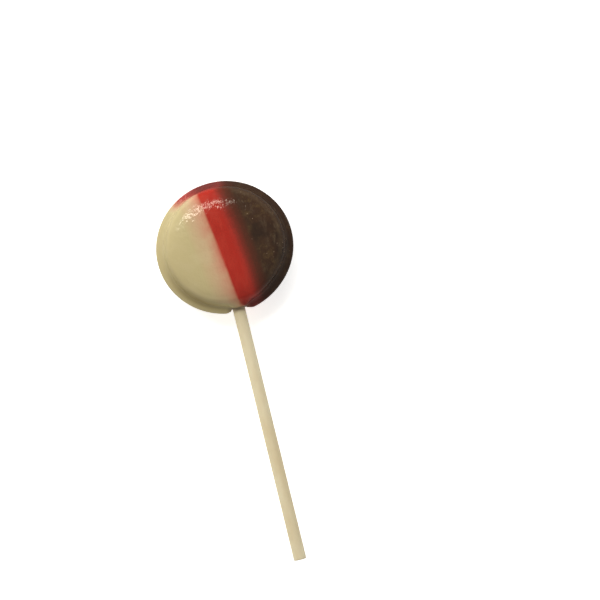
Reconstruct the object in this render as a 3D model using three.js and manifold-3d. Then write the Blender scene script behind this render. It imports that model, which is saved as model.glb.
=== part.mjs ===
// A round, flat lollipop of boiled candy on a rolled paper stick.
//
// Three colour layers run side by side through the whole head: cream, a red stripe
// and chocolate brown. The head was pressed between two moulds, so it has two faces
// that are nearly flat in the middle, a soft shoulder round each, a steep wall and a
// thin flange at the middle, and the front half sits a little off centre on that flange.
//
// Millimetres, +Z up. The lollipop lies on its back face, with the front face up and the
// stick towards -Y, level and clear of the ground.
//
// The head is worked out in a frame of its own: origin at its centre on the middle
// plane, front face towards +Z, stick along -Y. Bearings round it are in degrees from
// the stick, counter-clockwise as seen from the front, so 90 is +X and 180 is +Y.

import * as THREE from 'three';
import { mergeVertices } from 'three/addons/utils/BufferGeometryUtils.js';
import Module from 'manifold-3d';

// ---- driving dimensions ----------------------------------------------------------

const stick = {
  diameter: 4,
  length: 102,
  insertedPastCentre: 0.5,
  edgeRounding: 0.25,
};

const head = {
  rimRadius: 21.5,
  halfThickness: 8.6,
};

// one half of the head in section, out from the axis: the face falls away as a power of
// the radius and bends down at the shoulder, the wall drops to its foot, and the flange
// tapers out to the rim
const face = { fall: 2.5, power: 5.1, fallRadius: 18.85 };
const shoulder = { radius: 18.4, bendStart: 17.05 };
const wall = { middleRadius: 18.97, middleHeight: 3.9, footRadius: 19.5, footHeight: 1.75 };
const flange = { middleRadius: 20.5, middleHeight: 1.2 };

// how the pressed candy departs from a true round, and how far towards +X its middle is
// from the stick
const stickOffset = 0.25;
const frontDrift = { amount: 0.54, bearing: 114 };
const oval = { side: 0.16, rim: 0.42 };
const pressedFlat = { sideDepth: 0.55, rimDepth: 0.18, bearing: 41, halfWidth: 36 };

// at the stick the flange stops short and the wall comes out as a lip
const atStick = { fullWithin: 4.5, noneBeyond: 13 };
const notchDepth = 2;
const lip = { out: 1.1, fullBelowHeight: 3.2, noneAboveHeight: 6 };

// the two boundaries between the layers, as x over y: offset, slope and bow
const creamRed = { offset: -1.4, slope: -0.135, bow: -0.0008 };
const redBrown = { offset: 5.8, slope: -0.133, bow: -0.0031 };

// Beside the middle plane the red layer is smeared along the rim, above all at the top.
// At the stick it is pushed a little towards +X on one side and back on the other.
const smear = {
  creamSideTop: 8.3,
  creamSideBottom: 0.9,
  brownSideTop: 1.6,
  brownSideBottom: -0.9,
  topFrom: 11,
  topTo: 16.5,
  bottomFrom: -16.5,
  bottomTo: -20.5,
  fullBelowHeight: 0.8,
  noneAboveHeight: 5.8,
};

// the candy parts slightly from the stick where it goes in
const mouth = { radius: 2.6, outerY: -20.3, innerY: -18.9 };

const clearance = 0.3;
const flatSpotDepth = 0.06;

const roundSegments = 112;
const stickSegments = 32;
const faceSteps = 7;
const bendSteps = 4;
const boundarySteps = { along: 18, through: 10 };

const colours = {
  cream: { color: 0xc8bc8a, roughness: 0.3 },
  red: { color: 0xb0322a, roughness: 0.28 },
  brown: { color: 0x48342a, roughness: 0.28 },
  paper: { color: 0xdad0b2, roughness: 0.75 },
};

// ---- small helpers ---------------------------------------------------------------

const degrees = Math.PI / 180;

// 0 at a, 1 at b, easing in and out; b may lie below a
function ease(a, b, value) {
  const t = Math.min(Math.max((value - a) / (b - a), 0), 1);
  return t * t * (3 - 2 * t);
}

// a where the share is 0, b where it is 1
function mixed(a, b, share) {
  return a + (b - a) * share;
}

// a raised cosine: 1 on the given bearing, 0 from half its width away
function bump(bearing, centre, halfWidth) {
  const away = Math.abs(((bearing - centre + 540) % 360) - 180);
  return away < halfWidth ? 0.5 + 0.5 * Math.cos(Math.PI * away / halfWidth) : 0;
}

// ---- solids and their cuts -------------------------------------------------------

const wasm = await Module();
wasm.setup();

function solidOf(geometry) {
  const bare = geometry.clone();
  bare.deleteAttribute('normal');
  bare.deleteAttribute('uv');
  const merged = mergeVertices(bare, 1e-4);
  const mesh = new wasm.Mesh({
    numProp: 3,
    vertProperties: new Float32Array(merged.attributes.position.array),
    triVerts: new Uint32Array(merged.index.array),
  });
  return new wasm.Manifold(mesh);
}

function geometryOf(solid) {
  const { vertProperties, triVerts } = solid.getMesh();
  const geometry = new THREE.BufferGeometry();
  geometry.setAttribute('position', new THREE.BufferAttribute(vertProperties, 3));
  geometry.setIndex(new THREE.BufferAttribute(triVerts, 1));
  geometry.computeVertexNormals();
  return geometry;
}

// ---- the head --------------------------------------------------------------------

// how far the face has fallen at a radius
function fallAt(radius) {
  return face.fall * (radius / face.fallRadius) ** face.power;
}

// points of the face from the axis to the bend, closer together where it curves more
function facePoints() {
  const points = [];
  for (let i = 0; i < faceSteps; i += 1) {
    const radius = shoulder.bendStart * (i / faceSteps) ** 0.4;
    points.push(new THREE.Vector2(radius, head.halfThickness - fallAt(radius)));
  }
  return points;
}

// The section of one half, from the axis out to the rim on the middle plane. The first
// bend starts along the face's slope, which is power times fall over radius, and the last
// along the flange's.
function halfSection() {
  const fall = fallAt(shoulder.bendStart);
  const slope = face.power * fall / shoulder.bendStart;
  const start = head.halfThickness - fall;
  const corner = start - slope * (shoulder.radius - shoulder.bendStart);
  const taper = (wall.footHeight - flange.middleHeight) / (flange.middleRadius - wall.footRadius);
  const rimCorner = flange.middleHeight - taper * (head.rimRadius - flange.middleRadius);
  const side = new THREE.Path();
  side.moveTo(shoulder.bendStart, start);
  side.quadraticCurveTo(shoulder.radius, corner, wall.middleRadius, wall.middleHeight);
  side.quadraticCurveTo(wall.footRadius, wall.footHeight, flange.middleRadius, flange.middleHeight);
  side.quadraticCurveTo(head.rimRadius, rimCorner, head.rimRadius, 0);
  return [...facePoints(), ...side.getPoints(bendSteps)];
}

// moves a point of the true round to where the pressed candy has it
function pressed(x, y, z) {
  const radius = Math.hypot(x, y);
  const bearing = Math.atan2(x, -y) / degrees;
  const onFlange = ease(wall.middleRadius, flange.middleRadius, radius);
  const onSide = ease(0.6 * shoulder.radius, shoulder.radius, radius);
  const flatShare = bump(bearing, pressedFlat.bearing, pressedFlat.halfWidth);
  const flat = flatShare * mixed(pressedFlat.sideDepth, pressedFlat.rimDepth, onFlange);
  const nearStick = ease(atStick.noneBeyond, atStick.fullWithin, Math.abs(bearing));
  const beyondWall = (radius - wall.middleRadius) / (head.rimRadius - wall.middleRadius);
  const notch = notchDepth * nearStick * Math.max(beyondWall, 0);
  const low = ease(lip.noneAboveHeight, lip.fullBelowHeight, Math.abs(z));
  const narrower = Math.cos(2 * bearing * degrees) * mixed(oval.side, oval.rim, onFlange);
  const reach = radius - onSide * (flat + narrower) - notch + lip.out * nearStick * low;
  const drift = z > 0 ? frontDrift.amount * (1 - onFlange) : 0;
  return [
    reach * Math.sin(bearing * degrees) + drift * Math.sin(frontDrift.bearing * degrees) + stickOffset,
    -reach * Math.cos(bearing * degrees) - drift * Math.cos(frontDrift.bearing * degrees),
    z,
  ];
}

function headGeometry() {
  const front = halfSection();
  const back = front.slice(0, -1).reverse().map((p) => new THREE.Vector2(p.x, -p.y));
  const geometry = new THREE.LatheGeometry([...front, ...back].reverse(), roundSegments);
  geometry.rotateX(Math.PI / 2);
  const positions = geometry.attributes.position;
  for (let i = 0; i < positions.count; i += 1) {
    const moved = pressed(positions.getX(i), positions.getY(i), positions.getZ(i));
    positions.setXYZ(i, ...moved);
  }
  return geometry;
}

// ---- the colour layers -----------------------------------------------------------

const onTop = (y) => ease(smear.topFrom, smear.topTo, y);
const onBottom = (y) => ease(smear.bottomFrom, smear.bottomTo, y);
const nearRim = (z) => ease(smear.noneAboveHeight, smear.fullBelowHeight, Math.abs(z));

function boundary(line, y) {
  return line.offset + line.slope * y + line.bow * y * y;
}

function creamRedX(y, z) {
  const spread = smear.creamSideBottom * onBottom(y) - smear.creamSideTop * onTop(y);
  return boundary(creamRed, y) + spread * nearRim(z);
}

function redBrownX(y, z) {
  const spread = smear.brownSideTop * onTop(y) + smear.brownSideBottom * onBottom(y);
  return boundary(redBrown, y) + spread * nearRim(z);
}

// The x of a boundary after it is moved square to itself by half the clearance, towards
// -X or +X. Where the boundary leans by slopes a and b, that is half of the clearance
// times the root of 1 + a^2 + b^2.
function parted(boundaryX, y, z, towards) {
  const step = 0.1;
  const alongY = (boundaryX(y + step, z) - boundaryX(y - step, z)) / (2 * step);
  const alongZ = (boundaryX(y, z + step) - boundaryX(y, z - step)) / (2 * step);
  return boundaryX(y, z) + towards * clearance / 2 * Math.hypot(1, alongY, alongZ);
}

// All of the head's space on one side of a boundary: a block that reaches past the head
// towards -X (side -1) or +X (side 1) and whose inner face follows the boundary.
function sideBlock(boundaryX, side, towards) {
  const outside = head.rimRadius + 3;
  const length = 2 * outside;
  const depth = 2 * head.halfThickness + 3;
  const { along, through } = boundarySteps;
  const geometry = new THREE.BoxGeometry(2, length, depth, 1, along, through);
  const positions = geometry.attributes.position;
  for (let i = 0; i < positions.count; i += 1) {
    const onOutside = Math.sign(positions.getX(i)) === side;
    const inner = parted(boundaryX, positions.getY(i), positions.getZ(i), towards);
    positions.setX(i, onOutside ? side * outside : inner);
  }
  return solidOf(geometry);
}

// the hole that the stick sits in, with its slightly open mouth
function stickHole() {
  const bore = stick.diameter / 2 + clearance;
  const end = stick.insertedPastCentre + clearance;
  const beyond = -head.rimRadius - 3;
  const profile = [
    new THREE.Vector2(0, beyond),
    new THREE.Vector2(mouth.radius, beyond),
    new THREE.Vector2(mouth.radius, mouth.outerY),
    new THREE.Vector2(bore, mouth.innerY),
    new THREE.Vector2(bore, end),
    new THREE.Vector2(0, end),
  ];
  return solidOf(new THREE.LatheGeometry(profile, stickSegments));
}

function stickGeometry() {
  const radius = stick.diameter / 2;
  const tip = stick.insertedPastCentre - stick.length;
  const inner = stick.insertedPastCentre;
  const edge = stick.edgeRounding;
  const profile = [
    new THREE.Vector2(0, tip),
    new THREE.Vector2(radius - edge, tip),
    new THREE.Vector2(radius - 0.3 * edge, tip + 0.3 * edge),
    new THREE.Vector2(radius, tip + edge),
    new THREE.Vector2(radius, inner - edge),
    new THREE.Vector2(radius - edge, inner),
    new THREE.Vector2(0, inner),
  ];
  return new THREE.LatheGeometry(profile, stickSegments);
}

// ---- how it lies -----------------------------------------------------------------

// the middle plane stands this high when the back face lies on its flat spot
const restHeight = head.halfThickness - flatSpotDepth;

// everything below the plane that the lollipop lies on
function ground() {
  const box = new THREE.BoxGeometry(60, 60, 10);
  box.translate(0, 0, -5);
  return solidOf(box);
}

// ---- the pieces ------------------------------------------------------------------

const wholeHead = solidOf(headGeometry());
const hole = stickHole();
const floorBlock = ground();

const creamLayer = wholeHead.intersect(sideBlock(creamRedX, -1, -1));
const redLayer = wholeHead
  .subtract(sideBlock(creamRedX, -1, 1))
  .subtract(sideBlock(redBrownX, 1, -1));
const brownLayer = wholeHead.intersect(sideBlock(redBrownX, 1, 1));

function laidCandy(layer) {
  const laid = layer.subtract(hole).translate(0, 0, restHeight);
  return geometryOf(laid.subtract(floorBlock));
}

const pieces = {
  candy_cream: { geometry: laidCandy(creamLayer), finish: colours.cream },
  candy_red: { geometry: laidCandy(redLayer), finish: colours.red },
  candy_brown: { geometry: laidCandy(brownLayer), finish: colours.brown },
  stick: { geometry: stickGeometry().translate(0, 0, restHeight), finish: colours.paper },
};

const lollipop = new THREE.Group();
for (const [name, { geometry, finish }] of Object.entries(pieces)) {
  const material = new THREE.MeshStandardMaterial({ ...finish, metalness: 0 });
  const mesh = new THREE.Mesh(geometry, material);
  mesh.name = name;
  lollipop.add(mesh);
}

// the origin is the middle of the lollipop's outline, on the plane it lies on
const extent = new THREE.Box3().setFromObject(lollipop);
const middle = extent.getCenter(new THREE.Vector3());
lollipop.position.set(-middle.x, -middle.y, -extent.min.z);

export default lollipop;
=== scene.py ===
"""A flat round lollipop of boiled candy in three colour layers on a rolled paper stick.

The head is worked out in a frame of its own: origin at its centre on the middle plane,
front face towards +Z, stick along -Y. Bearings round it run from the stick,
counter-clockwise as seen from the front, so 90 degrees is +X and 180 degrees is +Y.
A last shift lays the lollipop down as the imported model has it.
"""

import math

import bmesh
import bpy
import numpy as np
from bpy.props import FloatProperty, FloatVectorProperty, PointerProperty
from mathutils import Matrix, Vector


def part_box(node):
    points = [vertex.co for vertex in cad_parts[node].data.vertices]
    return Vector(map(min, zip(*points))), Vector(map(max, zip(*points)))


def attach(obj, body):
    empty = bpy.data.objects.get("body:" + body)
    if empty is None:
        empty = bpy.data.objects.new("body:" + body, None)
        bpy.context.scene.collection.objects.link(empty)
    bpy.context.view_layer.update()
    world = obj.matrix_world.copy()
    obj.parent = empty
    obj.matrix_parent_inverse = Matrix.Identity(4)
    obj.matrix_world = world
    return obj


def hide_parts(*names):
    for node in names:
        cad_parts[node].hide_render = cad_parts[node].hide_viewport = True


bl_info = {
    "name": "Layered Lollipop",
    "version": (1, 0, 0),
    "blender": (4, 5, 0),
    "location": "View3D > Sidebar > Lollipop",
    "description": "A flat round lollipop of three candy layers on a paper stick",
    "category": "Add Mesh",
}

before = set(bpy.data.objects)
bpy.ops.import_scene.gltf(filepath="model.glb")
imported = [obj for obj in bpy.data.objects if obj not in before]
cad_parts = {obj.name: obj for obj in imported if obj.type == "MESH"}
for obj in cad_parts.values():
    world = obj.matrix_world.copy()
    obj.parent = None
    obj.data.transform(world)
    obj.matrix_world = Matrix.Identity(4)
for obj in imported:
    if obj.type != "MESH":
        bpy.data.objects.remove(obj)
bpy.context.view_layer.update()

MM = 0.001
SENSOR_WIDTH = 36.0  # mm
IOR = 1.45  # of boiled sugar, and of paper

# How finely the surfaces are worked out.
BEND_STEPS = 16  # along each bend of the head's side
CHORD_STEPS = 200  # along a seam over a face
FACE_ROWS = 90  # over a face, from the seam to the side
BELT_STEPS = 36  # across the red layer
CAP_RINGS = 7  # on the inner face of a layer
STICK_STEPS = {"dimple": 5, "end": 7, "edge": 6, "side": 260, "around": 65}
MERGE_DISTANCE = 0.0003 * MM
SHARP_ANGLE = math.radians(50)

# Bearings between which a seam's ends lie, from its -X side to its +X side, and how
# often the searches for places on the pressed head repeat.
TOP_RANGE = (math.radians(250), math.radians(120))
BOTTOM_RANGE = (math.radians(-60), math.radians(60))
HALVINGS = 40
LOSS_ROUNDS = 8

# Random fields that sink the surfaces: wavelength, number of waves, seed.
SWELLS = (13 * MM, 9, 3)
RIPPLES = (3.2 * MM, 24, 8)
STICK_HOLLOWS = (5 * MM, 12, 5)

# Where looks come in on the head, by the radius on the true round in millimetres, and
# where they fade again: each pair is the start and the end of a change.
CALM = (15.5, 17.5)
# Painted sheen inside the shoulder of the brown.
SHEEN, SHEEN_FADE = (11.0, 16.5), (17.5, 18.6)
# Painted highlight line along the edge of the brown face.
EDGE_HIGHLIGHT, EDGE_HIGHLIGHT_FADE = (16.6, 17.5), (17.7, 18.5)
# Painted shade in the fold of the side.
FOLD_SHADE, FOLD_SHADE_FADE = (17.2, 19.2), (19.5, 20.8)
# Painted shade in the recess round the stick.
MOUTH_SHADE = (18.3, 19.2)
RIM = (18.2, 19.4)
DULL_RIM = (18.8, 19.8)


# ---- what a user would change ----


def prop(kind, description, default, **settings):
    """A property of a kind in bpy.props that titled() makes."""
    return kind, {"description": description, "default": default, **settings}


def length(description, millimetres):
    return prop(FloatProperty, description, millimetres * MM, unit="LENGTH", precision=5)


def angle(description, degrees):
    return prop(FloatProperty, description, math.radians(degrees), subtype="ANGLE")


def number(description, default):
    return prop(FloatProperty, description, default)


def pair(description, *default):
    return prop(FloatVectorProperty, description, default, size=2)


def colour(description, *srgb):
    """A colour, given as it looks on a screen, 0 to 255."""
    linear = [((c / 255 + 0.055) / 1.055) ** 2.4 if c > 10 else c / 255 / 12.92 for c in srgb]
    return prop(
        FloatVectorProperty, description, linear, subtype="COLOR", size=3, min=0.0, max=1.0
    )


def titled(group):
    """Turns what the lines of a group give into properties, named by their own words."""
    for key, (kind, settings) in group.__annotations__.items():
        group.__annotations__[key] = kind(name=key.replace("_", " ").title(), **settings)
    return group


@titled
class HeadSizes(bpy.types.PropertyGroup):
    """The section of the head, and how the pressed candy departs from a true round."""

    rim_radius: length("Out to the edge of the flange", 21.5)
    half_thickness: length("Middle plane to the top of a face", 8.6)
    face_fall: length("How far a face falls out to the shoulder", 2.5)
    face_power: number("The power of the radius it falls with", 5.1)
    fall_radius: length("Radius at which it has fallen that far", 18.85)
    shoulder_radius: length("Where face and wall would meet", 18.4)
    bend_start: length("Radius at which the face bends down", 17.05)
    wall_radius: length("Radius half way down the wall", 18.97)
    wall_height: length("Height half way down the wall", 3.9)
    foot_radius: length("Where wall and flange would meet", 19.5)
    foot_height: length("Height at which they would meet", 1.75)
    flange_radius: length("Where the flange starts to round off", 20.5)
    flange_height: length("Half the flange's thickness there", 1.2)
    stick_offset: length("From the stick to the head's middle", 0.25)
    drift: length("How far off centre the front half sits", 0.54)
    drift_bearing: angle("Which way the front half sits off", 114)
    side_oval: length("How much wider the wall is across the stick", 0.16)
    rim_oval: length("How much wider the rim is across the stick", 0.42)
    flat_depth: length("Depth of the flattened stretch of the wall", 0.55)
    rim_flat: length("Depth of the same on the rim", 0.18)
    flat_bearing: angle("Middle of the flattened stretch", 41)
    flat_half_width: angle("Where the flat has run out", 36)
    notch_depth: length("How far the flange stops short at the stick", 2.0)
    notch_full: angle("The notch is full depth up to here", 4.5)
    notch_end: angle("The notch has run out here", 13)
    lip: length("How far the wall comes out at the stick", 1.1)
    lip_low: length("The lip is full below this height", 3.2)
    lip_high: length("There is no lip above this height", 6.0)
    mouth_seat: length("From the head's middle to where the stick goes in", 20.0)
    mouth_depth: length("How far the candy draws back round the stick", 1.3)
    mouth_outer: length("Radius round the stick where that starts", 2.6)
    mouth_inner: length("Radius round the stick where it is full", 2.1)
    swell: length("Depth of the slow swells in the surface", 0.05)
    ripple: length("Depth of the shorter ripples", 0.012)


@titled
class LayerSizes(bpy.types.PropertyGroup):
    """The boundaries between the layers, as x over y, the smear of red along the rim, and
    where the painted shade in the fold of the cream's side lies."""

    cream_red_x: length("Boundary at the head's middle", -1.4)
    cream_red_slope: number("Slope of x over y", -0.135)
    cream_red_bow: number("Bow, per metre", -0.8)
    red_brown_x: length("Boundary at the head's middle", 5.8)
    red_brown_slope: number("Slope of x over y", -0.133)
    red_brown_bow: number("Bow, per metre", -3.1)
    smear_cream: length("Reach of red along the top rim", 8.3)
    smear_brown: length("Reach of red along the top rim", 1.6)
    smear_bottom: length("Reach of red over the brown", -0.9)
    cream_bottom: length("Reach of cream over the red", 0.9)
    top_from: length("The top smear starts at this y", 11.0)
    top_to: length("The top smear is full at this y", 16.5)
    bottom_from: length("The bottom smear starts at this y", -16.5)
    bottom_to: length("The bottom smear is full at this y", -20.5)
    smear_low: length("Full below this height", 0.8)
    smear_high: length("None above this height", 5.8)
    # The painted shade in the fold is darkest on this bearing and has run out a width away.
    fold_shade_bearing: angle("Where the valley is darkest", -40)
    fold_shade_width: angle("From there to where it has run out", 62)


@titled
class StickSizes(bpy.types.PropertyGroup):
    """The rolled paper stick."""

    diameter: length("Across the stick", 4.0)
    length: length("The whole stick", 102.0)
    inserted: length("How far past the head's centre it reaches", 0.5)
    rounding: length("Radius of the softened ends", 0.25)
    unevenness: length("Depth of the hollows along it", 0.02)
    core_radius: length("Radius of the dimple the roll leaves", 0.4)
    core_depth: length("Depth of that dimple", 0.25)


@titled
class CandyColours(bpy.types.PropertyGroup):
    """The colours of candy and paper, as they look on a screen."""

    cream: colour("The cream layer", 196, 182, 136)
    cream_pale: colour("Its paler patches", 204, 190, 148)
    cream_warm: colour("Cream some way from the red", 201, 168, 133)
    blush: colour("Cream tinted by the red beside it", 202, 148, 120)
    seam_pink: colour("The last of the cream before the red", 196, 116, 94)
    # Painted shade: cream darkened in the fold of the side, towards the lower left.
    valley: colour("Cream down in the fold of the side", 148, 130, 80)
    # Painted shade: the dark cream on the lip in the recess round the stick.
    lip: colour("Cream round the stick", 112, 86, 54)
    red: colour("The red stripe", 172, 42, 30)
    red_light: colour("Its lighter streaks", 180, 52, 38)
    crimson: colour("The smear of red along the rim", 166, 62, 56)
    crimson_dark: colour("The smear at its darkest", 114, 45, 40)
    # Pale flecks in the smear over the cream.
    sugar: colour("Pale grains in the smear", 206, 122, 112)
    red_edge: colour("Red that starts to darken", 163, 47, 36)
    red_dim: colour("Further out", 144, 45, 34)
    red_deep: colour("Red where it runs into the brown", 118, 43, 31)
    brown_red: colour("Brown near the red", 87, 42, 28)
    brown: colour("The brown layer", 62, 41, 27)
    brown_olive: colour("Its lighter patches", 82, 62, 38)
    # Painted sheen and painted highlight: pale streaks inside the shoulder of the brown.
    scuff: colour("Soft pale streaks near the shoulder", 96, 80, 62)
    # Real darker patches of the brown, and painted shade on the rim.
    brown_dark_and_rim_shade: colour("Its darker patches", 46, 31, 22)
    speck: colour("The fine light specks in the brown", 150, 128, 106)
    paper: colour("The stick", 232, 221, 188)
    paper_warm: colour("Its warmer patches", 222, 206, 168)
    # A candy stain on the paper next to the head, deepened by painted shadow of the head.
    sticky: colour("Paper stained by candy next to the head", 176, 158, 130)


@titled
class Studio(bpy.types.PropertyGroup):
    """Where the camera and the lights stand, as seen from the middle of the head."""

    view_tilt: angle("How far the view leans off the face", 5.5)
    view_bearing: angle("Which way it leans", 45)
    distance: length("Camera to head", 700)
    focal_length: number("Millimetres on a 36 mm sensor", 132.3)
    head_column: number("Pixel column of the head's middle", 223.9)
    head_row: number("Pixel row of the head's middle", 247.5)
    stick_lean: angle("The stick's lean from straight down", 13.76)
    frame_width: number("Pixels across the picture", 600)
    sky_colour: colour("Colour of the soft light all round", 255, 250, 241)
    sky: number("Strength of the soft light from overhead", 0.3)
    horizon: number("Strength of the soft light from the sides", 0.2)
    floor_reach: length("From the origin to the floor's edges", 3000)
    floor_white: number("Share of the light that the floor gives back", 0.84)
    floor_glow: number("How much the floor shines by itself", 0.7)
    key: number("Power of the broad light, watts", 16.0)
    key_tilt: angle("How far the broad light stands off the face", 53)
    key_bearing: angle("Which way it stands", 187)
    key_distance: length("Broad light to head", 1200)
    key_size: length("Side of the square light", 1400)
    strip: number("Power of the two long lights that glint, watts a metre", 2.5)
    strip_colour: colour("Colour of the long lights", 255, 246, 226)
    strip_height: length("Height of the long lights", 500)
    strip_left: pair("x and y of the left end over the height", -0.62, 0.67)
    strip_bend: pair("x and y of where they meet, likewise", -0.17, 0.46)
    strip_right: pair("x and y of the right end, likewise", -0.01, 0.54)
    strip_width: number("Their width over the height", 0.08)


GROUPS = {
    "lollipop_head": HeadSizes,
    "lollipop_layers": LayerSizes,
    "lollipop_stick": StickSizes,
    "lollipop_colours": CandyColours,
    "lollipop_studio": Studio,
}


# ---- numbers and curves ----


def ease(low, high, value):
    """0 at low, 1 at high, easing in and out; high may lie below low."""
    t = np.clip((value - low) / (high - low), 0.0, 1.0)
    return t * t * (3.0 - 2.0 * t)


def raised_cosine(bearing, centre, half_width):
    """1 on the centre bearing, falling as a cosine to 0 half a width away."""
    away = np.abs((bearing - centre + 3 * math.pi) % (2 * math.pi) - math.pi)
    return np.where(away < half_width, 0.5 + 0.5 * np.cos(math.pi * away / half_width), 0.0)


def mixed(start, end, share):
    """start where share is 0, end where it is 1."""
    return start + (end - start) * share


def waves(points, wavelength, count, seed):
    """A smooth random field between 0 and 1: the mean of plane sine waves in random
    directions, each of about the given wavelength."""
    rng = np.random.default_rng(seed)
    directions = rng.normal(size=(count, 3))
    directions /= np.linalg.norm(directions, axis=1)[:, None]
    directions *= 2 * math.pi / wavelength * rng.uniform(0.7, 1.4, size=(count, 1))
    phases = rng.uniform(0, 2 * math.pi, size=count)
    total = np.sin(points @ directions.T + phases).sum(axis=-1)
    return 0.5 + 0.5 * np.tanh(total / math.sqrt(count))


def bend(start, corner, end):
    """A quadratic curve from start to end that leans towards corner, and its normals, to
    the left of the way it runs: points (1-t)^2 start + 2t(1-t) corner + t^2 end."""
    t = np.linspace(0.0, 1.0, BEND_STEPS + 1)[:, None]
    start, corner, end = (np.array(p) for p in (start, corner, end))
    points = (1 - t) ** 2 * start + 2 * t * (1 - t) * corner + t**2 * end
    along = 2 * (1 - t) * (corner - start) + 2 * t * (end - corner)
    normals = np.stack([-along[:, 1], along[:, 0]], axis=1)
    return points, normals / np.linalg.norm(normals, axis=1)[:, None]


# ---- the shape of the head ----


def face_fall(head, radius):
    """How far a face has fallen at a radius, a power of it, and the slope there."""
    fall = head.face_fall * (radius / head.fall_radius) ** head.face_power
    slope = head.face_fall * head.face_power / head.fall_radius
    return fall, slope * (radius / head.fall_radius) ** (head.face_power - 1)


def face_points(head, flat, side):
    """Points of the front (side 1) or back (side -1) face above or below flat x, y
    points, and their normals, which lean outwards by the slope."""
    radius = np.hypot(flat[..., 0], flat[..., 1])
    fall, slope = face_fall(head, radius)
    height = side * (head.half_thickness - fall)
    lean = (slope / np.maximum(radius, 1e-9))[..., None] * flat
    normals = np.concatenate([lean, np.full_like(height, side)[..., None]], axis=-1)
    normals /= np.linalg.norm(normals, axis=-1)[..., None]
    return np.concatenate([flat, height[..., None]], axis=-1), normals


def side_section(head):
    """The side in section from the front face round the rim to the back face: shoulder,
    foot and rim are three quadratic bends, mirrored below the middle plane. The first
    starts along the slope of the face, the last along the taper of the flange."""
    fall, slope = face_fall(head, head.bend_start)
    start = (head.bend_start, head.half_thickness - fall)
    corner_height = start[1] - slope * (head.shoulder_radius - head.bend_start)
    wall = (head.wall_radius, head.wall_height)
    foot = (head.foot_radius, head.foot_height)
    flange = (head.flange_radius, head.flange_height)
    taper = (foot[1] - flange[1]) / (flange[0] - foot[0])
    rim_corner = (head.rim_radius, flange[1] - taper * (head.rim_radius - flange[0]))
    bends = [
        bend(start, (head.shoulder_radius, corner_height), wall),
        bend(wall, foot, flange),
        bend(flange, rim_corner, (head.rim_radius, 0.0)),
    ]

    def joined(which):  # the first point of a bend is the last of the one before
        upper = np.concatenate([each[which][i > 0:] for i, each in enumerate(bends)])
        return np.concatenate([upper, upper[-2::-1] * [1, -1]])

    return joined(0), joined(1)


def ring_points(section, normals, bearings):
    """Turns section points (radius, height) to the given bearings: x = r sin b and
    y = -r cos b. The first axis of bearings runs along the section."""
    shape = (-1,) + (1,) * (bearings.ndim - 1)
    sin, cos = np.sin(bearings), np.cos(bearings)

    def turned(run):
        out, up = run[:, 0].reshape(shape), run[:, 1].reshape(shape)
        return np.stack([out * sin, -out * cos, up + 0 * sin], axis=-1)

    return turned(section), turned(normals)


def side_shares(head, radius):
    """How far out a radius counts as side and as flange, each 0 to 1."""
    return (
        ease(0.6 * head.shoulder_radius, head.shoulder_radius, radius),
        ease(head.wall_radius, head.flange_radius, radius),
    )


def side_loss(head, radius, bearing):
    """What the flattened stretch and the oval take off a radius: each has one depth on
    the wall and another on the flange."""
    on_side, on_flange = side_shares(head, radius)
    flat = raised_cosine(bearing, head.flat_bearing, head.flat_half_width)
    flat = flat * mixed(head.flat_depth, head.rim_flat, on_flange)
    oval = np.cos(2 * bearing) * mixed(head.side_oval, head.rim_oval, on_flange)
    return on_side * (flat + oval)


def drift_vector(head):
    """The shift of the front half, in x and y."""
    bearing = head.drift_bearing
    return head.drift * np.array([math.sin(bearing), -math.cos(bearing)])


def pressed(head, points):
    """Moves points of the true round to where the pressed candy has them: the radius
    loses the flat, the oval and, at the stick, a share of the flange, gains a lip there,
    and the front half shifts off centre. The whole head is a little off the stick."""
    x, y, z = np.moveaxis(points, -1, 0)
    radius = np.hypot(x, y)
    bearing = np.arctan2(x, -y)
    on_flange = side_shares(head, radius)[1]
    at_stick = ease(head.notch_end, head.notch_full, np.abs(bearing))
    beyond_wall = (radius - head.wall_radius) / (head.rim_radius - head.wall_radius)
    notch = head.notch_depth * at_stick * np.maximum(beyond_wall, 0.0)
    lip = head.lip * at_stick * ease(head.lip_high, head.lip_low, np.abs(z))
    reach = radius - side_loss(head, radius, bearing) - notch + lip
    shift = np.where(z > 0, 1 - on_flange, 0.0)
    drift = drift_vector(head)
    across = reach * np.sin(bearing) + shift * drift[0] + head.stick_offset
    return np.stack([across, -reach * np.cos(bearing) + shift * drift[1], z], axis=-1)


def unpressed(head, flat, side):
    """The x, y of the true round whose pressed place on a face is flat, found by
    repeating radius = reach + loss(radius)."""
    flat = flat - np.array([head.stick_offset, 0.0])
    if side > 0:
        flat = flat - drift_vector(head)
    reach = np.hypot(flat[:, 0], flat[:, 1])
    bearing = np.arctan2(flat[:, 0], -flat[:, 1])
    radius = reach.copy()
    for _ in range(LOSS_ROUNDS):
        radius = reach + side_loss(head, radius, bearing)
    return np.stack([radius * np.sin(bearing), -radius * np.cos(bearing)], axis=1)


def finished(head, points, normals):
    """The candy's surface: the pressed round, sunk by slow swells and short ripples, and
    drawn back round the stick. A fourth number tells the radius on the true round."""
    surface = pressed(head, points)
    swell = head.swell * waves(surface, *SWELLS)
    ripple = head.ripple * waves(surface, *RIPPLES)
    surface = surface - normals * (swell + ripple)[..., None]
    from_stick = np.hypot(surface[..., 0], surface[..., 2])
    at_mouth = ease(-0.5 * head.rim_radius, -0.8 * head.rim_radius, surface[..., 1])
    near_stick = ease(head.mouth_outer, head.mouth_inner, from_stick)
    surface[..., 1] += head.mouth_depth * near_stick * at_mouth
    radius = np.hypot(points[..., 0], points[..., 1])
    return np.concatenate([surface, radius[..., None]], axis=-1)


# ---- the colour layers ----


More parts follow.
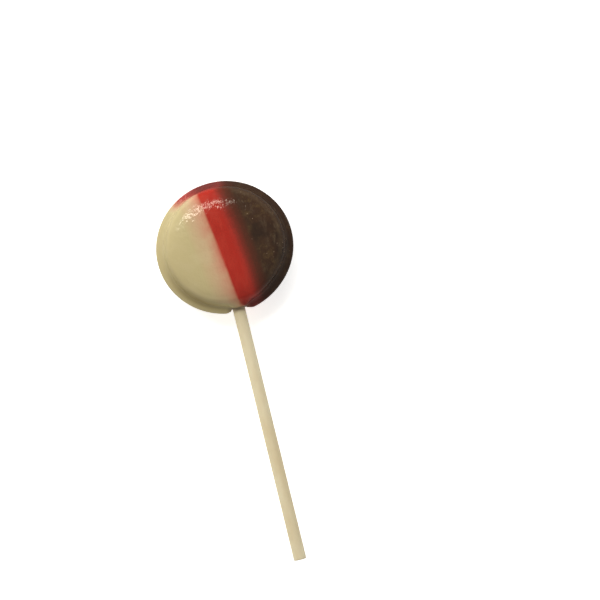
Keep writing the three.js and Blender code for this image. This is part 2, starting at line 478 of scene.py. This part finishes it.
def smeared(layers, top, bottom, y, z):
    """How far the smear pushes a boundary towards +X: by top near the rim at the top, by
    bottom at the stick, and less the higher over the middle plane."""
    at_top = ease(layers.top_from, layers.top_to, y)
    at_bottom = ease(layers.bottom_from, layers.bottom_to, y)
    near_middle = ease(layers.smear_high, layers.smear_low, np.abs(z))
    return (bottom * at_bottom + top * at_top) * near_middle


def plain_line(layers, y, z):
    """x of the boundary between cream and red without its smear, a bowed line."""
    return layers.cream_red_x + layers.cream_red_slope * y + layers.cream_red_bow * y * y


def cream_red(layers, y, z):
    """x of the boundary between cream and red."""
    push = smeared(layers, -layers.smear_cream, layers.cream_bottom, y, z)
    return plain_line(layers, y, z) + push


def red_brown(layers, y, z):
    """x of the boundary between red and brown."""
    line = layers.red_brown_x + layers.red_brown_slope * y + layers.red_brown_bow * y * y
    return line + smeared(layers, layers.smear_brown, layers.smear_bottom, y, z)


def past(boundary, layers, points):
    """Distance past a boundary towards +X, in millimetres: the step in x divided by the
    root of 1 + the boundary's slopes squared."""
    x, y, z = np.moveaxis(points, -1, 0)
    step = 0.05 * MM
    along_y = (boundary(layers, y + step, z) - boundary(layers, y - step, z)) / (2 * step)
    along_z = (boundary(layers, y, z + step) - boundary(layers, y, z - step)) / (2 * step)
    return (x - boundary(layers, y, z)) / np.sqrt(1 + along_y**2 + along_z**2) / MM


class Seam:
    """Where one boundary cuts the head's surface, as points of the true round: a chord
    over each face and a run of bearings down the side at either end."""

    def __init__(self, head, layers, boundary, section):
        self.head, self.layers, self.boundary = head, layers, boundary
        self.top = self.crossing(section, *TOP_RANGE)
        self.bottom = self.crossing(section, *BOTTOM_RANGE)
        self.front = self.chord(section[0], self.top[0], self.bottom[0], 1)
        self.back = self.chord(section[-1], self.top[-1], self.bottom[-1], -1)

    def crossing(self, section, low, high):
        """Bearings at which each ring of the side meets the boundary, by halving a range
        from its -X side to its +X side."""
        low, high = np.full(len(section), low), np.full(len(section), high)
        for _ in range(HALVINGS):
            middle = 0.5 * (low + high)
            points = pressed(self.head, ring_points(section, section, middle)[0])
            beyond = points[:, 0] > self.boundary(self.layers, points[:, 1], points[:, 2])
            low, high = np.where(beyond, low, middle), np.where(beyond, middle, high)
        return 0.5 * (low + high)

    def chord(self, ring, top, bottom, side):
        """The boundary over a face from its bottom end to its top end, evenly in y."""
        rings = np.array([ring, ring])
        ends = ring_points(rings, rings, np.array([bottom, top]))[0]
        low, high = pressed(self.head, ends)[:, 1]
        y = np.linspace(low, high, CHORD_STEPS + 1)
        x = self.boundary(self.layers, y, np.full_like(y, ring[1]))
        flat = unpressed(self.head, np.stack([x, y], axis=1), side)
        flat[0], flat[-1] = ends[0, :2], ends[1, :2]
        return flat


def outer_sheet(head, seam, section, normals, turn):
    """The outside of the cream or brown layer, from the seam over the front face, down
    the side and over the back face to the seam. Over a face the rows blend from the chord
    to the ring where the side begins. turn added to the top bearings makes the columns
    run round the right way."""
    share = np.linspace(0.0, 1.0, len(seam.front))
    bearings = mixed(seam.bottom[:, None], seam.top[:, None] + turn, share)
    side = ring_points(section, normals, bearings)
    steps = np.linspace(0.0, 1.0, FACE_ROWS + 1)[:-1, None, None]
    front = face_points(head, mixed(seam.front, side[0][0, :, :2], steps), 1)
    back = face_points(head, mixed(seam.back, side[0][-1, :, :2], steps[::-1]), -1)
    return tuple(np.concatenate(parts) for parts in zip(front, side, back))


def belt_sheet(head, left, right, section, normals):
    """The outside of the red layer: a belt once round the head between two seams. Over a
    face each row runs from chord to chord and bends with the ring at the ends."""
    share = np.linspace(0.0, 1.0, BELT_STEPS + 1)
    run = np.linspace(0.0, 1.0, CHORD_STEPS + 1)[:, None, None]

    def down_side(first, last):
        return ring_points(section, normals, mixed(first[:, None], last[:, None], share))

    top = down_side(left.top, right.top)
    bottom = down_side(left.bottom, right.bottom)

    def face(left_chord, right_chord, row, side):
        flat = mixed(left_chord[:, None], right_chord[:, None], share[None, :, None])
        low, high = bottom[0][row, :, :2], top[0][row, :, :2]
        flat = flat + (1 - run) * (low - flat[0]) + run * (high - flat[-1])
        return face_points(head, flat, side)

    front = face(left.front, right.front, 0, 1)
    back = face(left.back, right.back, -1, -1)
    return tuple(
        np.concatenate([front[i], top[i][1:], back[i][-2::-1], bottom[i][-2:0:-1]])
        for i in (0, 1)
    )


def sheet_border(sheet):
    """The edge of an outer sheet in order: front chord, top end, back chord, bottom end."""
    side = sheet[FACE_ROWS:-FACE_ROWS]
    return np.concatenate([sheet[0], side[1:, -1], sheet[-1, -2::-1], side[-2:0:-1, 0]])


def candy_skins(head, layers):
    """The outside of each layer, with its borders and the boundary that each follows. Only
    the red layer runs right round."""
    section, normals = side_section(head)
    left = Seam(head, layers, cream_red, section)
    right = Seam(head, layers, red_brown, section)
    cream = finished(head, *outer_sheet(head, left, section, normals, -2 * math.pi))
    brown = finished(head, *outer_sheet(head, right, section, normals, 0.0))
    red = finished(head, *belt_sheet(head, left, right, section, normals))
    return {
        "cream": (cream, [(sheet_border(cream), cream_red)]),
        "brown": (brown, [(sheet_border(brown), red_brown)]),
        "red": (red, [(red[:, 0], cream_red), (red[:, -1], red_brown)]),
    }


def candy_values(layers, points):
    """What the candy's finish reads off the vertices, lengths in millimetres."""
    x, y, z, round_radius = points.T
    points = points[:, :3]
    return {
        "past_cream_red": past(cream_red, layers, points),
        "past_plain_line": past(plain_line, layers, points),
        "past_red_brown": past(red_brown, layers, points),
        "round_radius": round_radius / MM,
        # Where the painted shade in the side's fold falls, by bearing.
        "valley": raised_cosine(np.arctan2(x, -y), layers.fold_shade_bearing, layers.fold_shade_width),
        "from_stick": np.hypot(x, z) / MM,
    }


# ---- the shape of the stick ----


def profile(out, along):
    """Points of a section, from how far out and how far along they lie."""
    return np.stack(np.broadcast_arrays(out, along), axis=1)


def stick_surface(stick):
    """A lathed surface about the Y axis: a dimple at the core, a flat end, a rounded
    edge, the long side, and the same at the other end. Hollows sink the radius, which is
    x and z; they are drawn out along the stick."""
    radius, edge = stick.diameter / 2, stick.rounding
    dimple = np.linspace(0.0, 1.0, STICK_STEPS["dimple"])
    flat = np.linspace(stick.core_radius, radius - edge, STICK_STEPS["end"])[1:]
    turn = np.linspace(0.0, math.pi / 2, STICK_STEPS["edge"])[1:]
    core_depth = stick.core_depth * (1 - ease(0, 1, dimple))
    end = np.concatenate(
        [
            profile(stick.core_radius * dimple, core_depth),
            profile(flat, 0.0),
            profile(radius - edge + edge * np.sin(turn), edge - edge * np.cos(turn)),
        ]
    )
    side = profile(radius, np.linspace(edge, stick.length - edge, STICK_STEPS["side"])[1:-1])
    whole = np.concatenate([end, side, (end * [1, -1] + [0, stick.length])[::-1]])
    around = np.linspace(0.0, 2 * math.pi, STICK_STEPS["around"])[:-1]
    out, along = whole[:, :1], whole[:, 1:]
    points = np.stack(
        np.broadcast_arrays(out * np.cos(around), along, out * np.sin(around)), axis=-1
    )
    sunk = 1 - stick.unevenness / radius * waves(points * [1, 0.3, 1], *STICK_HOLLOWS)
    points[..., ::2] *= sunk[..., None]
    points[..., 1] += stick.inserted - stick.length
    rings = points.swapaxes(0, 1)
    return rings.reshape(-1, 3), grid_faces(*rings.shape[:2], wrap=True)


# ---- meshes ----


def grid_faces(rows, columns, first=0, wrap=False):
    """Quads of a grid of vertices numbered row by row; wrap joins the last row to the
    first."""
    row = np.arange(rows if wrap else rows - 1)[:, None]
    column = np.arange(columns - 1)[None, :]
    a = row * columns + column
    b = (row + 1) % rows * columns + column
    return (first + np.stack([a, a + 1, b + 1, b], axis=-1)).reshape(-1, 4)


def boundary_cap(border, boundary, layers):
    """The inner face of a layer: rings of its border shrunk towards the head's middle in
    y and z, each at the boundary's x. Returns the rings, the border first."""
    shrink = np.linspace(1.0, 0.0, CAP_RINGS)[:, None]
    middle = border[:, 1].mean()
    y = middle + (border[:, 1] - middle) * shrink
    z = border[:, 2] * shrink
    rings = np.stack([boundary(layers, y, z), y, z, border[:, 3] * shrink], axis=-1)
    rings[0] = border
    return rings


def closed_layer(skin, borders, layers, wrap):
    """Points and faces of a layer: its outside, and an inner face for each border."""
    faces = [grid_faces(*skin.shape[:2], wrap=wrap)]
    points = [skin.reshape(-1, 4)]
    for border, boundary in borders:
        rings = boundary_cap(border, boundary, layers).swapaxes(0, 1)
        faces.append(grid_faces(*rings.shape[:2], first=sum(map(len, points)), wrap=True))
        points.append(rings.reshape(-1, 4))
    return np.concatenate(points), np.concatenate(faces)


def resting_centre(stick):
    """Where the head's middle lies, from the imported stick, whose box is centred on it."""
    low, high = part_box("stick")
    middle = (Vector(low) + Vector(high)) / 2
    return middle - Vector((0.0, stick.inserted - stick.length / 2, 0.0))


def laid_down(points, centre):
    """Shifts points to where the lollipop lies, none of them below the floor."""
    laid = points + np.array(centre)
    laid[:, 2] = np.maximum(laid[:, 2], 0.0)
    return laid


def mesh_piece(name, points, faces, values, material):
    """A closed smooth mesh object. Vertices in one place are merged and faces turned
    outwards; values are float attributes on the vertices."""
    mesh = bpy.data.meshes.new(name)
    mesh.from_pydata(points, [], faces.tolist())
    for key, value in values.items():
        attribute = mesh.attributes.new(key, "FLOAT", "POINT")
        attribute.data.foreach_set("value", value.astype(np.float32))
    work = bmesh.new()
    work.from_mesh(mesh)
    bmesh.ops.remove_doubles(work, verts=work.verts, dist=MERGE_DISTANCE)
    bmesh.ops.recalc_face_normals(work, faces=work.faces)
    open_edges = sum(1 for edge in work.edges if len(edge.link_faces) != 2)
    if open_edges:
        raise RuntimeError(f"{name} has {open_edges} open edges")
    work.to_mesh(mesh)
    work.free()
    mesh.polygons.foreach_set("use_smooth", np.ones(len(mesh.polygons), dtype=bool))
    mesh.set_sharp_from_angle(angle=SHARP_ANGLE)
    mesh.materials.append(material)
    return linked(name, mesh)


# ---- shader maths ----


def feed(socket, value):
    """Gives a socket its link, from a signal or another socket, or its value."""
    if isinstance(value, Signal):
        value = value.socket
    if isinstance(value, bpy.types.NodeSocket):
        socket.id_data.links.new(value, socket)
    elif socket.type == "RGBA":
        socket.default_value = (*value, 1.0)
    else:
        socket.default_value = value


def set_stops(ramp, stops):
    """Gives a colour ramp its stops, pairs of a place from 0 to 1 and a colour."""
    while len(ramp.elements) < len(stops):
        ramp.elements.new(0.5)
    for element, (place, tint) in zip(ramp.elements, stops):
        element.position = place
        element.color = (*tint, 1.0)


def add_node(tree, kind, settings=None, inputs=None):
    """Adds a node: its settings first, then the values or links of its sockets."""
    node = tree.nodes.new(kind)
    for key, value in (settings or {}).items():
        if key == "stops":
            set_stops(node.color_ramp, value)
        else:
            setattr(node, key, value)
    for key, value in (inputs or {}).items():
        feed(node.inputs[key], value)
    return node


class Signal:
    """A number that varies over a surface, with Python's arithmetic on it."""

    def __init__(self, socket):
        self.socket = socket

    def node(self, kind, settings, inputs):
        return Signal(add_node(self.socket.id_data, kind, settings, inputs).outputs[0])

    def maths(self, operation, first, second):
        return self.node("ShaderNodeMath", {"operation": operation}, {0: first, 1: second})

    def __add__(self, other):
        return self.maths("ADD", self, other)

    def __sub__(self, other):
        return self.maths("SUBTRACT", self, other)

    def __rsub__(self, other):
        return self.maths("SUBTRACT", other, self)

    def __mul__(self, other):
        return self.maths("MULTIPLY", self, other)

    __radd__ = __add__
    __rmul__ = __mul__

    def ease(self, low, high):
        """0 at low, 1 at high, easing in and out."""
        return self.node(
            "ShaderNodeMapRange", {"interpolation_type": "SMOOTHSTEP"},
            {"Value": self, "From Min": low, "From Max": high},
        )


class Finish:
    """A material being put together round one Principled shader."""

    def __init__(self, name):
        self.material = bpy.data.materials.new(name)
        self.material.use_nodes = True

    def node(self, kind, settings=None, inputs=None):
        return add_node(self.material.node_tree, kind, settings, inputs)

    def place(self):
        return self.node("ShaderNodeTexCoord").outputs["Object"]

    def value(self, attribute):
        """A float attribute of the mesh."""
        made = self.node("ShaderNodeAttribute", {"attribute_name": attribute})
        return Signal(made.outputs["Fac"])

    def noise(self, feature, detail=3.0, roughness=0.5, stretch=(1, 1, 1), turn=(0, 0, 0)):
        """Noise from 0 to 1 whose features are about the given size, in metres, and longer
        along an axis whose stretch is below 1."""
        spot = self.node(
            "ShaderNodeMapping",
            inputs={"Vector": self.place(), "Scale": stretch, "Rotation": turn},
        )
        made = self.node(
            "ShaderNodeTexNoise",
            inputs={
                "Vector": spot.outputs["Vector"], "Scale": 1.0 / feature,
                "Detail": detail, "Roughness": roughness,
            },
        )
        return Signal(made.outputs["Fac"])

    def dots(self, feature, core, edge, picked):
        """Dots scattered about a feature apart, 1 inside core and 0 beyond edge, at the
        points whose random number is past the range picked."""
        made = self.node(
            "ShaderNodeTexVoronoi", inputs={"Vector": self.place(), "Scale": 1.0 / feature}
        )
        parts = self.node("ShaderNodeSeparateColor", inputs={"Color": made.outputs["Color"]})
        distance, choice = Signal(made.outputs["Distance"]), Signal(parts.outputs[0])
        return (1.0 - distance.ease(core, edge)) * choice.ease(*picked)

    def blend(self, share, first, second):
        """first where share is 0, second where it is 1."""
        made = self.node("ShaderNodeMix", {"data_type": "RGBA"}, {"Factor": share})
        colours = [socket for socket in made.inputs if socket.type == "RGBA"]
        feed(colours[0], first)
        feed(colours[1], second)
        return [socket for socket in made.outputs if socket.type == "RGBA"][0]

    def ramp(self, signal, low, high, stops):
        """A colour that changes with a signal: stops gives the colour at some of its
        values, which lie between low and high."""
        share = (signal - low) * (1.0 / (high - low))
        places = [((value - low) / (high - low), tint) for value, tint in stops.items()]
        made = self.node("ShaderNodeValToRGB", {"stops": places}, {"Fac": share})
        return made.outputs["Color"]

    def finish(self, looks):
        """Feeds sockets of the Principled shader, by name."""
        for key, value in looks.items():
            feed(self.material.node_tree.nodes["Principled BSDF"].inputs[key], value)
        return self.material

    def embossed(self, base, roughness, height):
        """Finishes a surface whose height, in metres, feeds a Bump."""
        bump = self.node("ShaderNodeBump", inputs={"Height": height, "Distance": 1.0})
        normal = bump.outputs["Normal"]
        return self.finish(
            {"Base Color": base, "Roughness": roughness, "Normal": normal, "IOR": IOR}
        )


# ---- the finishes ----


class BoiledCandy(Finish):
    """One glossy finish for the three layers, which run into each other across the seams.
    The distances past the boundaries, in millimetres, say where each colour starts, and
    the radius on the true round says what lies down on the side."""

    def __init__(self, colours):
        super().__init__("boiled_candy")
        self.colours = colours
        drift = self.noise(4.5 * MM) - 0.5
        grain = self.noise(0.6 * MM, detail=4.0, roughness=0.7) - 0.5
        self.clouds = self.noise(7.0 * MM)
        self.radius = self.value("round_radius")
        self.rim = self.radius.ease(*RIM)
        self.past_line = self.value("past_plain_line")
        self.past_cream = self.value("past_cream_red")
        self.to_red = self.past_cream + drift * 0.25
        self.to_brown = self.value("past_red_brown") + drift * 0.9 + grain * 1.4 - 0.25

    def band(self, start, fade):
        """1 between two radii: it comes in over the range start and goes over fade."""
        return self.radius.ease(*start) * (1.0 - self.radius.ease(*fade))

    def cream(self):
        """Cream with pale clouds, tinted towards the red, with painted shade in the side's
        fold and painted shade on the lip in the recess round the stick."""
        colours = self.colours
        cream = self.ramp(
            self.to_red * (1.0 + self.rim * 3.0), -8.0, 0.4,
            {
                -7.5: colours.cream, -3.6: colours.cream_warm, -1.3: colours.blush,
                0.0: colours.seam_pink,
            },
        )
        cream = self.blend(self.clouds.ease(0.4, 0.7) * 0.4, cream, colours.cream_pale)
        # Painted shade: the fold of the side darkens towards the lower left, away from the
        # light.
        valley = self.band(FOLD_SHADE, FOLD_SHADE_FADE) * self.value("valley")
        cream = self.blend(valley * 0.75, cream, colours.valley)
        # Painted shade on the lip in the recess round the stick.
        near_stick = 1.0 - self.value("from_stick").ease(2.4, 4.6)
        lip = self.past_line.ease(-7.5, -1.0) * near_stick * self.radius.ease(*MOUTH_SHADE)
        return self.blend(lip * 0.85, cream, colours.lip)

    def smear(self):
        """Crimson, darker towards the brown and with pale flecks over the cream."""
        colours = self.colours
        darker = self.past_line.ease(-5.0, 2.0)
        smear = self.blend(darker, colours.crimson, colours.crimson_dark)
        flecks = self.noise(0.5 * MM, roughness=0.6).ease(0.5, 0.62)
        over_cream = 1.0 - self.past_line.ease(-5.0, 0.0)
        return self.blend(flecks * over_cream * 0.8, smear, colours.sugar)

    def red(self, smear):
        """Red with light streaks along the stripe, and the smear on the rim."""
        streaks = self.noise(2.2 * MM, detail=4.0, stretch=(1.0, 0.3, 1.0)).ease(0.4, 0.75)
        red = self.blend(streaks, self.colours.red, self.colours.red_light)
        return self.blend(self.rim, red, smear)

    def fade(self, smear):
        """Red that darkens into brown. On the rim it goes over from the smear, and painted
        shade darkens the rim towards the brown.
        """
        colours = self.colours
        fade = self.ramp(
            self.to_brown, -1.6, 5.0,
            {
                -1.2: colours.red_edge, -0.5: colours.red_dim, 0.4: colours.red_deep,
                1.9: colours.brown_red, 4.8: colours.brown,
            },
        )
        smeared = self.rim * (1.0 - self.to_brown.ease(-0.6, 1.6))
        fade = self.blend(smeared * 0.9, fade, smear)
        # Painted shade: the rim darkens towards the brown.
        rim_shade = self.rim * self.to_brown.ease(-1.0, 1.5)
        return self.blend(rim_shade * 0.5, fade, colours.brown_dark_and_rim_shade)

    def brown(self):
        """Brown with olive patches, dark clouds, painted shade on the rim, a painted sheen and
        a painted highlight line near the shoulder, and fine specks.
        """
        colours = self.colours
        patches = self.noise(2.2 * MM, detail=6.0, roughness=0.7).ease(0.48, 0.68)
        brown = self.blend(patches, colours.brown, colours.brown_olive)
        dark = 1.0 - self.clouds.ease(0.33, 0.5)
        brown = self.blend(dark * 0.85, brown, colours.brown_dark_and_rim_shade)
        # Painted shade: the rim darkens.
        brown = self.blend(self.rim * 0.35, brown, colours.brown_dark_and_rim_shade)
        # Painted sheen in pale streaks inside the shoulder, and a painted highlight line at
        # the edge of the face.
        sheen_streaks = self.noise(1.6 * MM, detail=4.0, roughness=0.7, stretch=(1.0, 0.35, 1.0))
        sheen_streaks = sheen_streaks.ease(0.5, 0.72) * self.band(SHEEN, SHEEN_FADE)
        pale = sheen_streaks * 0.65 + self.band(EDGE_HIGHLIGHT, EDGE_HIGHLIGHT_FADE) * 0.3
        brown = self.blend(pale, brown, colours.scuff)
        specks = self.dots(1.7 * MM, 0.04, 0.12, (0.4, 0.6))
        return self.blend(specks * 0.9, brown, colours.speck)

    def colour(self):
        """Cream, red, the fade and brown, one after the other across the head."""
        smear = self.smear()
        dark = self.blend(self.to_brown.ease(-2.8, -0.7), self.red(smear), self.fade(smear))
        dark = self.blend(self.to_brown.ease(2.6, 5.4), dark, self.brown())
        seam = self.to_red * (1.0 - self.rim * 0.7)
        return self.blend(seam.ease(-0.3, 0.75), self.cream(), dark)

    def relief(self):
        """Slanting ridges, weaker on the cream, and blobs, stronger there, both calmer
        towards the side, and a few pimples and pits."""
        cream = 1.0 - self.past_cream.ease(-0.6, 0.6)
        ridges = self.noise(0.9 * MM, detail=2.0, stretch=(1.8, 0.5, 1.0), turn=(0, 0, 0.7))
        ridges = ridges * (0.075 * MM) * (1.0 - cream * 0.6)
        blobs = self.noise(1.3 * MM) * (0.08 + cream * 0.04) * MM
        calm = 1.0 - self.radius.ease(*CALM) * 0.9
        pimples = self.dots(2.6 * MM, 0.0, 0.22, (0.8, 0.9)) * (0.035 * MM)
        pits = self.dots(1.7 * MM, 0.04, 0.14, (0.45, 0.6)) * (-0.012 * MM)
        return (ridges + blobs) * calm + pimples + pits

    def complete(self):
        """The material: glossy, duller where it is worn and on the rim."""
        wear = self.noise(3.5 * MM, detail=5.0, roughness=0.6).ease(0.3, 0.8)
        roughness = 0.09 + wear * 0.1 + self.radius.ease(*DULL_RIM) * 0.25
        return self.embossed(self.colour(), roughness, self.relief())


def rolled_paper(colours):
    """Off-white paper with faint warm patches, fibres along the stick, and a stain where
    it goes into the candy, deepened by painted shadow of the head."""
    made = Finish("rolled_paper")
    patches = made.noise(6.0 * MM, detail=4.0, stretch=(1.0, 0.4, 1.0))
    fibres = made.noise(0.5 * MM, detail=4.0, stretch=(1.0, 0.12, 1.0))
    base = made.blend(patches.ease(0.35, 0.7), colours.paper, colours.paper_warm)
    base = made.blend(fibres.ease(0.55, 0.9) * 0.25, base, colours.paper_warm)
    # A candy stain next to the head, deepened by painted shadow of the head.
    stain_and_shadow = made.value("from_head").ease(1.6, 0.2)
    base = made.blend(stain_and_shadow * 0.7, base, colours.sticky)
    height = fibres * (0.01 * MM) + patches * (0.02 * MM)
    return made.embossed(base, 0.55 + fibres * 0.25, height)


# ---- the stage ----


def leaning(tilt, bearing):
    """The direction that leans by tilt off the face towards a bearing."""
    out = math.sin(tilt)
    return Vector((out * math.sin(bearing), -out * math.cos(bearing), math.cos(tilt)))


def basis(first, towards):
    """Three unit vectors at right angles: the first, the part of towards that is square
    to it, and their cross product."""
    first = first.normalized()
    second = (towards - towards.dot(first) * first).normalized()
    return Matrix((first, second, first.cross(second))).transposed()


def linked(name, data):
    """An object of its own for a mesh, a light or a camera."""
    made = bpy.data.objects.new(name, data)
    bpy.context.scene.collection.objects.link(made)
    return made


def aimed_camera(studio, centre):
    """A camera that sees the head's middle at its pixel and the stick at its lean, by
    turning those two directions of the picture onto the real ones."""
    towards_camera = leaning(studio.view_tilt, studio.view_bearing)
    half = studio.frame_width / 2
    reach = studio.focal_length / SENSOR_WIDTH * studio.frame_width
    sight = Vector((studio.head_column - half, half - studio.head_row, -reach))
    down = Vector((math.sin(studio.stick_lean), -math.cos(studio.stick_lean), 0.0))
    stick = Vector((0.0, -1.0, 0.0))
    turn = basis(-towards_camera, stick) @ basis(sight, down).transposed()
    data = bpy.data.cameras.new("photo_camera")
    data.lens = studio.focal_length
    data.sensor_width = SENSOR_WIDTH
    data.clip_start = 0.01
    camera = linked("photo_camera", data)
    spot = centre + towards_camera * studio.distance
    camera.matrix_world = Matrix.Translation(spot) @ turn.to_4x4()
    return camera


def area_light(name, centre, offset, along, size, power, tint=(1.0, 1.0, 1.0)):
    """A rectangular light at an offset from the centre that faces it, its long side
    near the direction along."""
    data = bpy.data.lights.new(name, "AREA")
    data.shape = "RECTANGLE"
    data.size, data.size_y = size
    data.energy = power
    data.color = tint
    light = linked(name, data)
    facing, level, upright = basis(offset, along).transposed()
    turn = Matrix((level, upright, facing)).transposed()
    light.matrix_world = Matrix.Translation(centre + offset) @ turn.to_4x4()
    return light


def lights(studio, centre):
    """A broad light that isn't mirrored in the candy, and two long ones that are."""
    towards_key = leaning(studio.key_tilt, studio.key_bearing)
    size = (studio.key_size, studio.key_size)
    level = Vector((1.0, 0.0, 0.0))
    key = area_light("key", centre, towards_key * studio.key_distance, level, size, studio.key)
    key.visible_glossy = False
    ends = (studio.strip_left, studio.strip_bend, studio.strip_right)
    left, middle, right = (Vector((*end, 1.0)) * studio.strip_height for end in ends)
    width = studio.strip_width * studio.strip_height
    for name, start, end in (("strip_left", left, middle), ("strip_right", middle, right)):
        run = end - start
        area_light(
            name, centre, (start + end) / 2, run, (run.length, width),
            studio.strip * run.length, studio.strip_colour,
        )


def soft_sky(studio):
    """A world of soft light, with one strength overhead and another at the sides."""
    world = bpy.data.worlds.new("soft_white")
    world.use_nodes = True
    tree = world.node_tree
    direction = add_node(tree, "ShaderNodeTexCoord").outputs["Generated"]
    split = add_node(tree, "ShaderNodeSeparateXYZ", inputs={"Vector": direction})
    overhead = Signal(split.outputs["Z"]).ease(0.2, 0.8)
    background = tree.nodes["Background"]
    feed(background.inputs["Color"], studio.sky_colour)
    strength = studio.horizon + overhead * (studio.sky - studio.horizon)
    feed(background.inputs["Strength"], strength)
    return world


def white_floor(studio):
    """A square of plain floor that isn't mirrored in the candy."""
    reach = studio.floor_reach
    mesh = bpy.data.meshes.new("floor")
    corners = [(-reach, -reach, 0), (reach, -reach, 0), (reach, reach, 0), (-reach, reach, 0)]
    mesh.from_pydata(corners, [], [(0, 1, 2, 3)])
    looks = {"Base Color": (studio.floor_white,) * 3, "Roughness": 0.9}
    glow = {"Emission Color": (1.0, 1.0, 1.0), "Emission Strength": studio.floor_glow}
    mesh.materials.append(Finish("floor_white").finish({**looks, **glow}))
    floor = linked("floor", mesh)
    floor.visible_glossy = False
    return floor


# ---- the operators ----


class LOLLIPOP_OT_candy(bpy.types.Operator):
    """Make the cream, red and brown layers of the head"""

    bl_idname = "lollipop.candy"
    bl_label = "Candy Layers"

    def execute(self, context):
        scene = context.scene
        layers = scene.lollipop_layers
        centre = resting_centre(scene.lollipop_stick)
        finish = BoiledCandy(scene.lollipop_colours).complete()
        for name, (skin, borders) in candy_skins(scene.lollipop_head, layers).items():
            points, faces = closed_layer(skin, borders, layers, wrap=name == "red")
            values = candy_values(layers, points)
            laid = laid_down(points[:, :3], centre)
            piece = mesh_piece(f"{name}_layer", laid, faces, values, finish)
            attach(piece, "root")
            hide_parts(f"candy_{name}")
        return {"FINISHED"}


class LOLLIPOP_OT_stick(bpy.types.Operator):
    """Make the rolled paper stick"""

    bl_idname = "lollipop.stick"
    bl_label = "Paper Stick"

    def execute(self, context):
        scene = context.scene
        stick = scene.lollipop_stick
        points, faces = stick_surface(stick)
        values = {"from_head": (-scene.lollipop_head.mouth_seat - points[:, 1]) / MM}
        laid = laid_down(points, resting_centre(stick))
        finish = rolled_paper(scene.lollipop_colours)
        piece = mesh_piece("paper_stick", laid, faces, values, finish)
        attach(piece, "root")
        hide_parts("stick")
        return {"FINISHED"}


class LOLLIPOP_OT_stage(bpy.types.Operator):
    """Set out the floor, the soft lights and the camera"""

    bl_idname = "lollipop.stage"
    bl_label = "Stage"

    def execute(self, context):
        scene = context.scene
        studio = scene.lollipop_studio
        centre = resting_centre(scene.lollipop_stick)
        white_floor(studio)
        scene.world = soft_sky(studio)
        lights(studio, centre)
        scene.camera = aimed_camera(studio, centre)
        scene.view_settings.view_transform = "Standard"
        return {"FINISHED"}


class LOLLIPOP_PT_panel(bpy.types.Panel):
    """The lollipop's pieces, sizes and colours"""

    bl_label = "Lollipop"
    bl_idname = "LOLLIPOP_PT_panel"
    bl_space_type = "VIEW_3D"
    bl_region_type = "UI"
    bl_category = "Lollipop"

    def draw(self, context):
        for operator in OPERATORS:
            self.layout.operator(operator.bl_idname)
        for key, group in GROUPS.items():
            box = self.layout.box()
            for name in group.__annotations__:
                box.prop(getattr(context.scene, key), name)


OPERATORS = (LOLLIPOP_OT_candy, LOLLIPOP_OT_stick, LOLLIPOP_OT_stage)
CLASSES = (*GROUPS.values(), *OPERATORS, LOLLIPOP_PT_panel)


def register():
    for each in CLASSES:
        bpy.utils.register_class(each)
    for key, group in GROUPS.items():
        setattr(bpy.types.Scene, key, PointerProperty(type=group))


def unregister():
    for key in GROUPS:
        delattr(bpy.types.Scene, key)
    for each in reversed(CLASSES):
        bpy.utils.unregister_class(each)


def main():
    register()
    bpy.ops.lollipop.candy()
    bpy.ops.lollipop.stick()
    bpy.ops.lollipop.stage()


if __name__ == "__main__":
    main()
